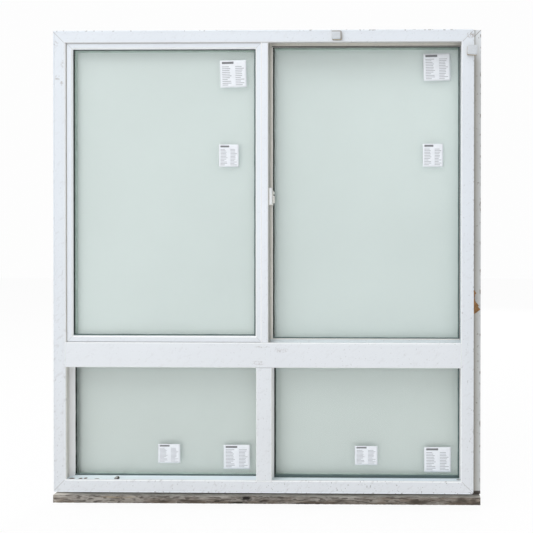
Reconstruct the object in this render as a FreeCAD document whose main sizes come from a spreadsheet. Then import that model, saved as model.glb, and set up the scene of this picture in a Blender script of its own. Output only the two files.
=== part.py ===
"""Horizontal sliding window over two fixed lights: white extruded frame, double glazed, on a timber bearer.

Axes: X to the right seen from indoors, Y from indoors to outdoors, Z up, millimetres.
The origin is the middle of the wall face of the bottom flange. "Depth" is measured from the indoor face of
the frame, and "rise" is measured across a profile from its outer edge towards the glass.
"""

import os
import re

import FreeCAD
import Part
import Sketcher

SIZES = {
    # outer frame, extruded in one profile and mitred
    "frame_width": 1600,
    "frame_height": 1758,
    "jamb_depth": 92,
    "nose_depth": 22,
    "face_width": 48,
    "lip_depth": 8,
    "channel_width": 32,
    "channel_depth": 30,
    "stop_thickness": 3,
    "rebate_depth": 14,
    "edge_round": 4,
    "lip_round": 4,
    "corner_trim": 7,
    "edge_band": 7,
    "groove_width": 1.2,
    "groove_depth": 0.8,
    "rib_width": 3,
    "rib_height": 9,
    "seam_width": 0.7,
    "seam_depth": 0.6,
    # outdoor flange, mitred round the frame
    "flange_width": 45,
    "flange_round": 4,
    "flange_edge_round": 1.5,
    "flange_band": 28,
    "flange_step": 5,
    # bars that divide the frame
    "joint_gap": 0.4,
    "lower_height": 477,
    "transom_height": 95.5,
    "transom_ledge": 8,
    "shallow_channel": 12,
    "mullion_width": 60,
    "mullion_offset": 5,
    "meeting_right": 26,
    "meeting_width": 46,
    "meeting_depth": 50,
    # sliding sash
    "sash_inset": 24,
    "sash_head_gap": 3,
    "sash_foot_gap": 5,
    "sash_right": 20.5,
    "sash_face": 48,
    "sash_side_gap": 2,
    "sash_leg": 4,
    "sash_rebate": 14,
    "sash_round": 1.5,
    "sash_bead_width": 21,
    "sash_bead_proud": 5,
    "sash_bead_slope": 4,
    "pull_width": 25,
    "pull_front": 1,
    "pull_gap": 0.4,
    "pull_round": 2.5,
    "track_groove_width": 9,
    "track_groove_depth": 10,
    "roller_radius": 8,
    "roller_width": 7,
    "roller_case_length": 50,
    "roller_case_width": 12,
    "roller_case_height": 22,
    "roller_case_foot": 7,
    "roller_inset": 90,
    # glazing
    "pane_thickness": 4,
    "fixed_cavity": 12,
    "sash_cavity": 12,
    "glass_bite": 10,
    "spacer_edge_gap": 3,
    "spacer_sight": 2,
    "outer_bead_depth": 16,
    "outer_bead_slope": 7,
    # latch on the side of the meeting stile
    "latch_height": 1130,
    "latch_length": 66,
    "latch_plate_depth": 25,
    "latch_plate_thickness": 2.5,
    "latch_setback": 2,
    "latch_end_round": 6,
    "case_reach": 9,
    "case_depth": 12,
    "case_ramp": 3,
    "case_round": 1,
    "thumb_reach": 15.5,
    "thumb_foot": 8,
    "thumb_length": 27,
    "hook_reach": 13.5,
    "hook_foot": 43,
    "hook_length": 10,
    "lever_length": 64,
    "lever_depth": 9,
    "lever_reach": 9,
    "lever_round": 3.5,
    # shipping pads stuck on the indoor face
    "pad_width": 38,
    "pad_height": 35,
    "pad_thickness": 14,
    "pad_round": 4,
    "head_pad_right": 282,
    "head_pad_drop": 25,
    "jamb_pad_inset": 10,
    "jamb_pad_drop": 83,
    # timber bearer under the flange
    "bearer_length": 1692,
    "bearer_shift": 6,
    "bearer_depth": 89,
    "bearer_thickness": 32,
    "bearer_setback": 66,
    "bearer_round": 5,
}

# depths and rises that follow from the sizes
STOP_FRONT = "(lip_depth + channel_width)"
GLASS_FRONT = "(lip_depth + channel_width + stop_thickness)"
FIXED_GLASS_BACK = f"({GLASS_FRONT} + 2 * pane_thickness + fixed_cavity)"
FRAME_DEPTH = "(jamb_depth + nose_depth)"
CHANNEL_FLOOR = "(face_width - channel_depth)"
REBATE_FLOOR = "(face_width - rebate_depth)"
TRACK_MIDDLE = "(lip_depth + channel_width / 2)"
SASH_FRONT = "(lip_depth + sash_side_gap)"
SASH_BACK = "(lip_depth + channel_width - sash_side_gap)"
SASH_GLASS_BACK = f"({SASH_BACK} - sash_leg)"
SASH_GLASS_FRONT = f"({SASH_GLASS_BACK} - 2 * pane_thickness - sash_cavity)"

# heights and places in the window's own axes
INDOOR_FACE = "(-jamb_depth)"
FRAME_FOOT = "(flange_width / 2)"
FRAME_TOP = f"({FRAME_FOOT} + frame_height)"
TRANSOM_FOOT = f"({FRAME_FOOT} + lower_height)"
TRANSOM_TOP = f"({TRANSOM_FOOT} + transom_height)"
OPENING_SIDE = "(frame_width / 2 - face_width)"
MULLION_LEFT = "(mullion_offset - mullion_width / 2)"
MULLION_RIGHT = "(mullion_offset + mullion_width / 2)"
SASH_LEFT = "(sash_inset - frame_width / 2)"
SASH_TOP = f"({FRAME_TOP} - {CHANNEL_FLOOR} - sash_head_gap)"
SASH_FOOT = f"({TRANSOM_TOP} - channel_depth + sash_foot_gap)"
SASH_BEAD_INSET = "(sash_face - sash_bead_width)"
LATCH_FOOT = f"({FRAME_FOOT} + latch_height - latch_length / 2)"

# the four sides of a mitred frame: turn about Y in degrees, and the corner that the bar starts from
SIDES = {"sill": (0, "left", "foot"), "head": (180, "right", "top"),
         "left": (90, "left", "top"), "right": (-90, "right", "foot")}

JAMB_PAD_TURN = 3  # degrees
TOLERANCE = 0.01

doc = FreeCAD.newDocument("SlidingWindow")
sheet = doc.addObject("Spreadsheet::Sheet", "Sizes")
for row, (alias, size) in enumerate(SIZES.items(), start=1):
    sheet.set(f"A{row}", alias)
    sheet.set(f"B{row}", str(size))
    sheet.setAlias(f"B{row}", alias)
doc.recompute()


def formula(text):
    """Write a size or a sum of sizes as an expression on the sheet."""
    return re.sub(r"[a-z][a-z_]+", lambda word: "Sizes." + word.group(), str(text))


def value(text):
    """The present number of a size or a sum of sizes."""
    return float(sheet.evalExpression(formula(text)))


def bind(item, prop, text):
    """Tie a property to the sheet."""
    item.setExpression(prop, formula(text))


def place(body, right, depth, rise, turn=0):
    """Set a body down by its own origin, turned about Y; depth is measured from the indoor face."""
    body.Placement = FreeCAD.Placement(FreeCAD.Vector(), FreeCAD.Rotation(FreeCAD.Vector(0, 1, 0), turn))
    bind(body, "Placement.Base.x", right)
    bind(body, "Placement.Base.y", f"{INDOOR_FACE} + {depth}")
    bind(body, "Placement.Base.z", rise)


def new_body(label):
    body = doc.addObject("PartDesign::Body", label)
    body.Label = label
    return body


def new_sketch(body, role):
    """An empty sketch on one of the body's origin planes."""
    sketch = body.newObject("Sketcher::SketchObject", f"{body.Name}_sketch")
    plane = next(item for item in body.Origin.OriginFeatures if item.Role == role)
    sketch.AttachmentSupport = (plane, [""])
    sketch.MapMode = "FlatFace"
    return sketch


def pin(sketch, kind, line, text):
    """Hold the start of a line at a distance from the sketch's origin."""
    axis = -2 if kind == "DistanceX" else -1
    if str(text) == "0":
        sketch.addConstraint(Sketcher.Constraint("PointOnObject", line, 1, axis))
        return
    index = sketch.addConstraint(Sketcher.Constraint(kind, -1, 1, line, 1, value(text)))
    bind(sketch, f"Constraints[{index}]", text)


def outline(sketch, points):
    """A closed outline of straight lines, each corner given as two sums of sizes."""
    corners = [FreeCAD.Vector(value(across), value(up), 0) for across, up in points]
    first = sketch.GeometryCount
    count = len(corners)
    for number in range(count):
        sketch.addGeometry(Part.LineSegment(corners[number], corners[(number + 1) % count]))
    for number in range(count):
        line, following = first + number, first + (number + 1) % count
        sketch.addConstraint(Sketcher.Constraint("Coincident", line, 2, following, 1))
    for number, (across, up) in enumerate(points):
        pin(sketch, "DistanceX", first + number, across)
        pin(sketch, "DistanceY", first + number, up)


def disc(sketch, across, up, radius):
    """A circle held by its centre and its radius."""
    centre = FreeCAD.Vector(value(across), value(up), 0)
    number = sketch.addGeometry(Part.Circle(centre, FreeCAD.Vector(0, 0, 1), value(radius)))
    for kind, text in (("DistanceX", across), ("DistanceY", up)):
        index = sketch.addConstraint(Sketcher.Constraint(kind, -1, 1, number, 3, value(text)))
        bind(sketch, f"Constraints[{index}]", text)
    index = sketch.addConstraint(Sketcher.Constraint("Radius", number, value(radius)))
    bind(sketch, f"Constraints[{index}]", radius)


def rectangle(left, foot, right, top):
    return [(left, foot), (right, foot), (right, top), (left, top)]


def draw(sketch, shape):
    """Draw a circle, given as centre and radius, or a closed outline, given as its corners."""
    if isinstance(shape, tuple):
        disc(sketch, *shape)
    else:
        outline(sketch, shape)


def pad(body, role, outlines, length, back="0", symmetric=False):
    """Grow outlines drawn on an origin plane: along +X from YZ, along +Y from XZ."""
    sketch = new_sketch(body, role)
    for shape in outlines:
        draw(sketch, shape)
    feature = body.newObject("PartDesign::Pad", f"{body.Name}_pad")
    feature.Profile = sketch
    feature.Reversed = role == "XZ_Plane"
    bind(feature, "Length", length)
    if symmetric:
        feature.SideType = "Symmetric"
    elif back != "0":
        feature.SideType = "Two sides"
        bind(feature, "Length2", back)
    doc.recompute()
    return feature


def cut(body, role, outlines, depth=None):
    """Pocket outlines drawn on an origin plane: right through, or along +Y from XZ or +Z from XY."""
    sketch = new_sketch(body, role)
    for shape in outlines:
        draw(sketch, shape)
    feature = body.newObject("PartDesign::Pocket", f"{body.Name}_pocket")
    feature.Profile = sketch
    feature.Reversed = role == "XY_Plane"
    if depth is None:
        feature.Type = "ThroughAll"
        feature.SideType = "Symmetric"
    else:
        bind(feature, "Length", depth)
    before = body.Shape.Volume
    doc.recompute()
    if not body.Shape.Volume < before:
        raise ValueError(f"{body.Label}: the pocket cut nothing")
    return feature


def near(first, text):
    """Whether a coordinate is at a size."""
    return abs(first - value(text)) < TOLERANCE


def edges_where(feature, test):
    """Names of the edges of a feature whose ends all pass a test, in the body's own axes."""
    return [f"Edge{number}" for number, edge in enumerate(feature.Shape.Edges, start=1)
            if all(test(vertex.Point) for vertex in edge.Vertexes)]


def long_edges(feature, corners):
    """Names of the edges along X that pass through given points of the profile."""
    return [name for depth, rise in corners
            for name in edges_where(feature, lambda end: near(end.y, depth) and near(end.z, rise))]


def round_edges(body, names, radius, kind="Fillet"):
    """Round or bevel the named edges of the body's last feature."""
    base = body.Tip
    feature = body.newObject(f"PartDesign::{kind}", f"{body.Name}_{kind.lower()}")
    feature.Base = (base, names)
    bind(feature, "Radius" if kind == "Fillet" else "Size", radius)
    doc.recompute()
    return feature


def mitred_bar(label, profile, reach, length, rounds, seam=None, trim=None):
    """A profile drawn on YZ, grown along X, rounded on its long edges and mitred at both ends.

    A seam is the depth of the groove along each mitre, and a trim is cut square across the outer corner.
    """
    body = new_body(label)
    base = pad(body, "YZ_Plane", [profile], length)
    for corners, radius in rounds:
        names = long_edges(base, corners)
        base = round_edges(body, names, radius)
    end = f"({length})"
    first = [("0", "0"), (reach, reach), ("0", reach)]
    last = [(end, "0"), (end, reach), (f"{end} - {reach}", reach)]
    if trim:
        first[1:1] = [(trim, "0"), (f"{trim} / 2", f"{trim} / 2")]
        last += [(f"{end} - {trim} / 2", f"{trim} / 2"), (f"{end} - {trim}", "0")]
    cut(body, "XZ_Plane", [first, last])
    if seam:
        # a shallow groove along each mitre on the indoor face, where the weld was trimmed
        wide = "seam_width"
        start = [("0", "0"), (wide, "0"), (f"{reach} + {wide}", reach), (reach, reach)]
        finish = [(end, "0"), (f"{end} - {reach}", reach), (f"{end} - {reach} - {wide}", reach),
                  (f"{end} - {wide}", "0")]
        cut(body, "XZ_Plane", [start, finish], seam)
    return body


def mitred_frame(stem, profile, reach, left, foot, right, top, rounds, seam=None, trim=None):
    """Four mitred bars round a rectangle, by the names of their sides."""
    across, up = f"({right} - {left})", f"({top} - {foot})"
    edges = {"left": left, "right": right, "foot": foot, "top": top}
    bars = {}
    for side, (turn, start, level) in SIDES.items():
        length = across if side in ("sill", "head") else up
        body = mitred_bar(f"{stem}_{side}", profile, reach, length, rounds, seam, trim)
        place(body, edges[start], "0", edges[level], turn)
        bars[side] = body
    return bars


def slab(label, left, front, foot, width, thickness, height):
    """A flat plate that faces indoors."""
    body = new_body(label)
    pad(body, "XZ_Plane", [rectangle("0", "0", width, height)], thickness)
    place(body, left, front, foot)
    return body


def ring(label, left, front, foot, width, thickness, height, wall):
    """A rectangular ring that faces indoors."""
    body = new_body(label)
    hole = rectangle(wall, wall, f"{width} - {wall}", f"{height} - {wall}")
    feature = pad(body, "XZ_Plane", [rectangle("0", "0", width, height), hole], thickness)
    place(body, left, front, foot)
    return body, feature


def glazing_unit(stem, left, foot, right, top, front, cavity):
    """Two panes and the spacer between them, for a sight opening; each pane reaches behind the stops."""
    bite = "glass_bite"
    width = f"({right} - {left} + 2 * {bite})"
    height = f"({top} - {foot} + 2 * {bite})"
    corner_x, corner_z = f"{left} - {bite}", f"{foot} - {bite}"
    slab(f"{stem}_inner_pane", corner_x, front, corner_z, width, "pane_thickness", height)
    gap = "spacer_edge_gap"
    ring(f"{stem}_spacer", f"{corner_x} + {gap}", f"{front} + pane_thickness", f"{corner_z} + {gap}",
         f"({width} - 2 * {gap})", cavity, f"({height} - 2 * {gap})", f"({bite} - {gap} + spacer_sight)")
    slab(f"{stem}_outer_pane", corner_x, f"{front} + pane_thickness + {cavity}", corner_z,
         width, "pane_thickness", height)


def outer_bead(label, left, foot, right, top):
    """The outdoor glazing bead round a fixed pane, bevelled towards the glass."""
    deep = "rebate_depth"
    width, height = f"({right} - {left} + 2 * {deep})", f"({top} - {foot} + 2 * {deep})"
    body, base = ring(label, f"{left} - {deep}", FIXED_GLASS_BACK, f"{foot} - {deep}",
                      width, "outer_bead_depth", height, deep)

    def on_hole(end):
        sides = near(end.x, deep) or near(end.x, f"{width} - {deep}")
        levels = near(end.z, deep) or near(end.z, f"{height} - {deep}")
        return near(end.y, "outer_bead_depth") and sides and levels

    round_edges(body, edges_where(base, on_hole), "outer_bead_slope", "Chamfer")


def build_frame():
    """The outer frame, its track rib and glass stop in one profile, and the flange round its outdoor side."""
    rib_foot, rib_top = f"({TRACK_MIDDLE} + rib_width / 2)", f"({TRACK_MIDDLE} - rib_width / 2)"
    crest = f"({CHANNEL_FLOOR} + rib_height)"
    profile = [("0", "0"), (FRAME_DEPTH, "0"), (FRAME_DEPTH, REBATE_FLOOR), (GLASS_FRONT, REBATE_FLOOR),
               (GLASS_FRONT, "face_width"), (STOP_FRONT, "face_width"), (STOP_FRONT, CHANNEL_FLOOR),
               (rib_foot, CHANNEL_FLOOR), (rib_foot, crest), (rib_top, crest), (rib_top, CHANNEL_FLOOR),
               ("lip_depth", CHANNEL_FLOOR), ("lip_depth", "face_width"), ("0", "face_width"),
               ("0", "edge_band + groove_width"), ("groove_depth", "edge_band + groove_width / 2"),
               ("0", "edge_band")]
    rounds = [([("0", "0")], "edge_round"), ([("0", "face_width")], "lip_round")]
    mitred_frame("frame", profile, "face_width", "(-frame_width / 2)", FRAME_FOOT,
                 "(frame_width / 2)", FRAME_TOP, rounds, "seam_depth", "corner_trim")
    # the outdoor side of the flange steps down towards the frame
    step = f"({FRAME_DEPTH} - flange_step)"
    flange = [("jamb_depth", "0"), (FRAME_DEPTH, "0"), (FRAME_DEPTH, "flange_band"),
              (step, "flange_band + flange_step"), (step, "flange_width"), ("jamb_depth", "flange_width")]
    rounds = [([("jamb_depth", "0")], "flange_edge_round"), ([(FRAME_DEPTH, "0")], "flange_round")]
    mitred_frame("flange", flange, "flange_width", "(-frame_width / 2 - flange_width)",
                 f"({FRAME_FOOT} - flange_width)", "(frame_width / 2 + flange_width)",
                 f"({FRAME_TOP} + flange_width)", rounds, "jamb_depth + seam_depth")


def bar_face(across, floor_near, floor_far, rebate_near, rebate_far, crest):
    """The section of a dividing bar: lips indoors, a channel each side, glass stops and an outdoor nose."""
    return [("0", "0"), ("lip_depth", "0"), ("lip_depth", floor_near), (STOP_FRONT, floor_near),
            (STOP_FRONT, "0"), (GLASS_FRONT, "0"), (GLASS_FRONT, rebate_near), (FRAME_DEPTH, rebate_near),
            (FRAME_DEPTH, rebate_far), (GLASS_FRONT, rebate_far), (GLASS_FRONT, crest), (STOP_FRONT, crest),
            (STOP_FRONT, floor_far), ("lip_depth", floor_far), ("lip_depth", across), ("0", across)]


def build_dividers():
    """The transom and the mullion, tenoned into the channels and rebates, and the fixed meeting stile."""
    tall, shallow = "transom_height", "shallow_channel"
    crest, track = f"({tall} + transom_ledge)", f"({tall} - channel_depth)"
    upper_floor = f"({crest} - rebate_depth)"
    tenon = f"({CHANNEL_FLOOR} + rib_height)"
    transom = new_body("transom")
    face = bar_face(tall, shallow, track, "rebate_depth", upper_floor, crest)
    base = pad(transom, "YZ_Plane", [face], "frame_width - 2 * (face_width + joint_gap)", symmetric=True)
    round_edges(transom, long_edges(base, [("0", "0"), ("0", tall)]), "lip_round")
    pad(transom, "YZ_Plane", [rectangle("lip_depth", shallow, STOP_FRONT, track)],
        f"frame_width - 2 * {tenon}", symmetric=True)
    pad(transom, "YZ_Plane", [rectangle(GLASS_FRONT, "rebate_depth", FRAME_DEPTH, upper_floor)],
        f"frame_width - 2 * {REBATE_FLOOR}", symmetric=True)
    rib = rectangle(f"{TRACK_MIDDLE} - rib_width / 2", track,
                    f"{TRACK_MIDDLE} + rib_width / 2", f"{track} + rib_height")
    pad(transom, "YZ_Plane", [rib], "frame_width - 2 * face_width", symmetric=True)
    place(transom, "0", "0", TRANSOM_FOOT)

    wide, run = "mullion_width", "(lower_height - face_width - joint_gap)"
    inner, outer = f"({wide} - {shallow})", f"({wide} - rebate_depth)"
    mullion = new_body("lower_mullion")
    face = bar_face(wide, shallow, inner, "rebate_depth", outer, wide)
    base = pad(mullion, "YZ_Plane", [face], run, "-joint_gap")
    round_edges(mullion, long_edges(base, [("0", "0"), ("0", wide)]), "lip_round")
    pad(mullion, "YZ_Plane", [rectangle("lip_depth", shallow, STOP_FRONT, inner)],
        f"{run} + joint_gap + {shallow}", "channel_depth - rib_height")
    pad(mullion, "YZ_Plane", [rectangle(GLASS_FRONT, "rebate_depth", FRAME_DEPTH, outer)],
        f"{run} + joint_gap + rebate_depth", "rebate_depth")
    place(mullion, MULLION_RIGHT, "0", f"{FRAME_FOOT} + face_width", -90)

    meeting = new_body("fixed_meeting_stile")
    run = f"({FRAME_TOP} - face_width - {TRANSOM_TOP} - transom_ledge)"
    pad(meeting, "YZ_Plane", [rectangle(STOP_FRONT, "0", GLASS_FRONT, "meeting_width")], run)
    web = rectangle(GLASS_FRONT, "rebate_depth", f"{STOP_FRONT} + meeting_depth", "meeting_width")
    pad(meeting, "YZ_Plane", [web], f"{run} + rebate_depth", "rebate_depth")
    place(meeting, "meeting_right", "0", f"{TRANSOM_TOP} + transom_ledge", -90)


def build_sash():
    """The sliding sash: mitred bars that straddle the track rib, indoor beads, a pull rail and rollers."""
    floor = "(sash_face - sash_rebate)"
    groove_near = f"({TRACK_MIDDLE} - track_groove_width / 2)"
    groove_far = f"({TRACK_MIDDLE} + track_groove_width / 2)"
    profile = [(SASH_FRONT, "0"), (groove_near, "0"), (groove_near, "track_groove_depth"),
               (groove_far, "track_groove_depth"), (groove_far, "0"), (SASH_BACK, "0"),
               (SASH_BACK, "sash_face"), (SASH_GLASS_BACK, "sash_face"), (SASH_GLASS_BACK, floor),
               (SASH_FRONT, floor)]
    rounds = [([(SASH_FRONT, "0"), (SASH_BACK, "0")], "sash_round")]
    bars = mitred_frame("sash", profile, "sash_face", SASH_LEFT, SASH_FOOT, "sash_right", SASH_TOP, rounds)

    inset = SASH_BEAD_INSET
    front = f"({SASH_FRONT} - sash_bead_proud)"
    lap = f"({floor} - {inset})"
    bead = [(front, "0"), (SASH_FRONT, "0"), (SASH_FRONT, lap), (SASH_GLASS_FRONT, lap),
            (SASH_GLASS_FRONT, "sash_bead_width"), (f"{front} + sash_bead_slope", "sash_bead_width"),
            (front, "sash_bead_width - sash_bead_slope")]
    mitred_frame("sash_bead", bead, "sash_bead_width", f"({SASH_LEFT} + {inset})",
                 f"({SASH_FOOT} + {inset})", f"(sash_right - {inset})", f"({SASH_TOP} - {inset})",
                 [([(front, "0")], "sash_round")], f"{front} + seam_depth")

    pull = new_body("sash_pull_rail")
    strip = rectangle("pull_front", "0", SASH_FRONT, "pull_width")
    run = f"({FRAME_TOP} - face_width - {TRANSOM_TOP} - 2 * pull_gap)"
    base = pad(pull, "YZ_Plane", [strip], run)
    round_edges(pull, long_edges(base, [("pull_front", "0"), ("pull_front", "pull_width")]), "pull_round")
    place(pull, "sash_right", "0", f"{TRANSOM_TOP} + pull_gap", -90)
    build_rollers(bars["sill"])


def build_rollers(rail):
    """Two roller units let into the bottom rail, each with its wheel on the crest of the track rib."""
    half = "roller_case_width / 2"
    near_side, far_side = f"{TRACK_MIDDLE} - {half}", f"{TRACK_MIDDLE} + {half}"
    crest = f"({TRANSOM_TOP} - channel_depth + rib_height)"
    top = f"({crest} + roller_case_height - {SASH_FOOT})"
    length = f"(sash_right - {SASH_LEFT})"
    starts = {"left": "roller_inset", "right": f"({length} - roller_inset - roller_case_length)"}
    for side, start in starts.items():
        pocket = rectangle(start, near_side, f"{start} + roller_case_length", far_side)
        cut(rail, "XY_Plane", [pocket], top)
        unit = new_body(f"sash_roller_{side}")
        case = rectangle("0", "roller_case_foot", "roller_case_length", "roller_case_height")
        pad(unit, "XZ_Plane", [case], "roller_case_width", symmetric=True)
        wheel = ("roller_case_length / 2", "roller_radius", "roller_radius")
        pad(unit, "XZ_Plane", [wheel], "roller_width", symmetric=True)
        place(unit, f"{SASH_LEFT} + {start}", TRACK_MIDDLE, crest)


def build_glazing():
    glazing_unit("sash", f"({SASH_LEFT} + sash_face)", f"({SASH_FOOT} + sash_face)",
                 "(sash_right - sash_face)", f"({SASH_TOP} - sash_face)", SASH_GLASS_FRONT, "sash_cavity")
    sight_foot, sight_top = f"({FRAME_FOOT} + face_width)", f"({FRAME_TOP} - face_width)"
    fixed = {"upper_right": ("meeting_right", f"({TRANSOM_TOP} + transom_ledge)", OPENING_SIDE, sight_top),
             "lower_left": (f"(-{OPENING_SIDE})", sight_foot, MULLION_LEFT, TRANSOM_FOOT),
             "lower_right": (MULLION_RIGHT, sight_foot, OPENING_SIDE, TRANSOM_FOOT)}
    for stem, sight in fixed.items():
        glazing_unit(stem, *sight, GLASS_FRONT, "fixed_cavity")
        outer_bead(f"{stem}_outer_bead", *sight)


def build_latch():
    """A plate on the side of the meeting stile, a case with thumb piece and hook, and a rounded lever."""
    front, seat = f"({SASH_FRONT} + latch_setback)", "sash_right + latch_plate_thickness"
    long, deep = "latch_length", "latch_plate_depth"
    plate = new_body("latch_plate")
    base = pad(plate, "YZ_Plane", [rectangle("0", "0", deep, long)], "latch_plate_thickness")
    corners = [("0", "0"), (deep, "0"), (deep, long), ("0", long)]
    round_edges(plate, long_edges(base, corners), "latch_end_round")
    place(plate, "sash_right", front, LATCH_FOOT)

    flat, ramp = "case_reach", "case_ramp"
    thumb_top, hook_top = "(thumb_foot + thumb_length)", "(hook_foot + hook_length)"
    shape = [("0", "0"), (flat, "0"), (flat, "thumb_foot"), ("thumb_reach", f"thumb_foot + {ramp}"),
             ("thumb_reach", thumb_top), (flat, f"{thumb_top} + {ramp}"), (flat, "hook_foot"),
             ("hook_reach", "hook_foot"), ("hook_reach", hook_top), (flat, f"{hook_top} + {ramp}"),
             (f"{flat} - {ramp}", long), ("0", long)]
    case = new_body("latch_case")
    base = pad(case, "XZ_Plane", [shape], "case_depth")
    rim = edges_where(base, lambda end: near(end.y, "0") and not near(end.x, "0"))
    round_edges(case, rim, "case_round")
    place(case, seat, f"{front} + {deep} - case_depth", LATCH_FOOT)

    lever = new_body("latch_lever")
    base = pad(lever, "YZ_Plane", [rectangle("0", "0", "lever_depth", "lever_length")], "lever_reach")
    round_edges(lever, edges_where(base, lambda end: near(end.x, "lever_reach")), "lever_round")
    place(lever, seat, front, f"{LATCH_FOOT} + ({long} - lever_length) / 2")


def build_pads():
    """Soft blocks on the indoor face that keep stacked windows apart."""
    jamb_pad_right = "(frame_width / 2 - jamb_pad_inset)"
    spots = {"head_pad": ("head_pad_right", f"({FRAME_TOP} - head_pad_drop)", 0),
             "jamb_pad": (jamb_pad_right, f"({FRAME_TOP} - jamb_pad_drop)", JAMB_PAD_TURN)}
    for label, (right, rise, turn) in spots.items():
        body = new_body(label)
        base = pad(body, "XZ_Plane", [rectangle("0", "0", "pad_width", "pad_height")], "pad_thickness")
        round_edges(body, edges_where(base, lambda end: near(end.y, "0")), "pad_round")
        place(body, f"{right} - pad_width / 2", "-pad_thickness", f"{rise} - pad_height / 2", turn)


def build_bearer():
    body = new_body("timber_bearer")
    section = rectangle("0", "0", "bearer_depth", "bearer_thickness")
    base = pad(body, "YZ_Plane", [section], "bearer_length", symmetric=True)
    round_edges(body, long_edges(base, section), "bearer_round")
    place(body, "-bearer_shift", "bearer_setback", f"{FRAME_FOOT} - flange_width - bearer_thickness")


build_frame()
build_dividers()
build_sash()
build_glazing()
build_latch()
build_pads()
build_bearer()
doc.recompute()

for item in doc.Objects:
    if "Invalid" in item.State or "Error" in item.State:
        raise ValueError(f"{item.Label} failed to build")

os.makedirs("parts", exist_ok=True)
for item in doc.Objects:
    if item.TypeId == "PartDesign::Body":
        if not item.Shape.isValid() or len(item.Shape.Solids) != 1:
            raise ValueError(f"{item.Label} is not one valid solid")
        item.Shape.exportStep(f"parts/{item.Label}.step")
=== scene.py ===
"""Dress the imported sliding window: vinyl, glass, gaskets, stickers, pads and the board that it stands on."""

import math

import bmesh
import bpy
import numpy as np
from mathutils import Matrix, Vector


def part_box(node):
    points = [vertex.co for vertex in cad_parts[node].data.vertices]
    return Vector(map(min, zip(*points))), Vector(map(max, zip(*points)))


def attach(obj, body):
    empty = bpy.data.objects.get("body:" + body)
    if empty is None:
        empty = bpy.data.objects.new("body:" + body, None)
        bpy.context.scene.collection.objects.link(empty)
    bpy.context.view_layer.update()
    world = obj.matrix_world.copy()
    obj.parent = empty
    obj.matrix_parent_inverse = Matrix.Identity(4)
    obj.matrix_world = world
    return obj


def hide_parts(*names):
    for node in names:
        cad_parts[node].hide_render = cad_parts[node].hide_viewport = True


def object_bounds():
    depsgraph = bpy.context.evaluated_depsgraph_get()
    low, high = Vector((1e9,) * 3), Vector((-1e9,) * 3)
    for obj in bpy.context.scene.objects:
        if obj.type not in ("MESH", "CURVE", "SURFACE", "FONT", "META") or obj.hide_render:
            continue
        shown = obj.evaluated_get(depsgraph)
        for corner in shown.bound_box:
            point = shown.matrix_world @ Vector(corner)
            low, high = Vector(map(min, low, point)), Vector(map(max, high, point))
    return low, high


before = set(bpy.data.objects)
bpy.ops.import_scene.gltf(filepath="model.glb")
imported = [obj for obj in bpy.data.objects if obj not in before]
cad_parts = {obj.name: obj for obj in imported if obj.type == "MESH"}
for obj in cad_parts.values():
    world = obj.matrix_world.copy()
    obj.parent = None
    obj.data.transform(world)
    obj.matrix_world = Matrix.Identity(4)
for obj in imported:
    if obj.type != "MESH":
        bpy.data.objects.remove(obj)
CAD_BOX = [list(corner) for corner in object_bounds()]

bl_info = {
    "name": "Sliding Window Finish",
    "version": (1, 0, 0),
    "blender": (4, 5, 0),
    "location": "View3D > Sidebar > Window",
    "description": "Finishes of a horizontal sliding window and the small pieces on it",
    "category": "Object",
}

# the picture's side in pixels, and the camera fitted to the window's edges in it, in metres, radians and pixels
PICTURE = 533
CAMERA_PLACE = (0.47447, -1.74258, 0.88819)
CAMERA_YAW = -0.00918
CAMERA_PITCH = -0.0036
CAMERA_ROLL = 0.00105
FOCAL_PIXELS = 436.84
OPTICAL_CENTRE = (383.7, 267.14)
SENSOR = 36.0

BEAD_NODES = ("upper_right_outer_bead", "lower_left_outer_bead", "lower_right_outer_bead")
SIDES = ("head", "sill", "left", "right")
LIGHTS = ("sash", "upper_right", "lower_left", "lower_right")

# distance at which points of a seam merge, edge that counts as a sliver, and angle in degrees of a sharp edge
SEAM = 1e-6
SLIVER = 1e-7
SHARP_ANGLE = 40

# place and side in metres, and power in watts, of the soft lights, and the point that they are aimed at
LAMPS = {
    "key_light": ((-1.2, -7.4, 2.6), 5.0, 32),
    "left_fill": ((-3.6, -6.4, 2.4), 3.6, 30),
    "top_light": ((-2.4, -3.2, 8.0), 5.0, 290),
    "back_light": ((2.5, 7.0, 3.6), 2.6, 200),
}
LAMP_TARGET = (0, 0, 0.9)
# strength of the sky as light and as seen, and how far the floor shows as plain white
SKY_LIGHT = 0.55
SKY_SEEN = 0.985
FLOOR_SEEN = 0.94

# light, centre along X and Z, width, height in metres, tilt in degrees
STICKERS = {
    "sticker_sash_large": ("sash", -0.1156, 1.6189, 0.101, 0.104, 1.6),
    "sticker_sash_small": ("sash", -0.1328, 1.3072, 0.076, 0.086, 0.0),
    "sticker_upper_large": ("upper_right", 0.6638, 1.6555, 0.104, 0.106, 1.3),
    "sticker_upper_small": ("upper_right", 0.649, 1.3149, 0.079, 0.09, 0.0),
    "sticker_lower_left_small": ("lower_left", -0.3772, 0.1543, 0.087, 0.074, 0.3),
    "sticker_lower_left_large": ("lower_left", -0.1124, 0.1427, 0.103, 0.094, 0.3),
    "sticker_lower_right_small": ("lower_right", 0.3915, 0.1505, 0.089, 0.074, 0.3),
    "sticker_lower_right_large": ("lower_right", 0.6688, 0.136, 0.104, 0.097, 0.3),
}

# rows of rules on the stickers, in turn, and the glue under a sticker
STICKER_ROWS = (15, 16, 17)
STICKER_GAP = 0.0001

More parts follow.
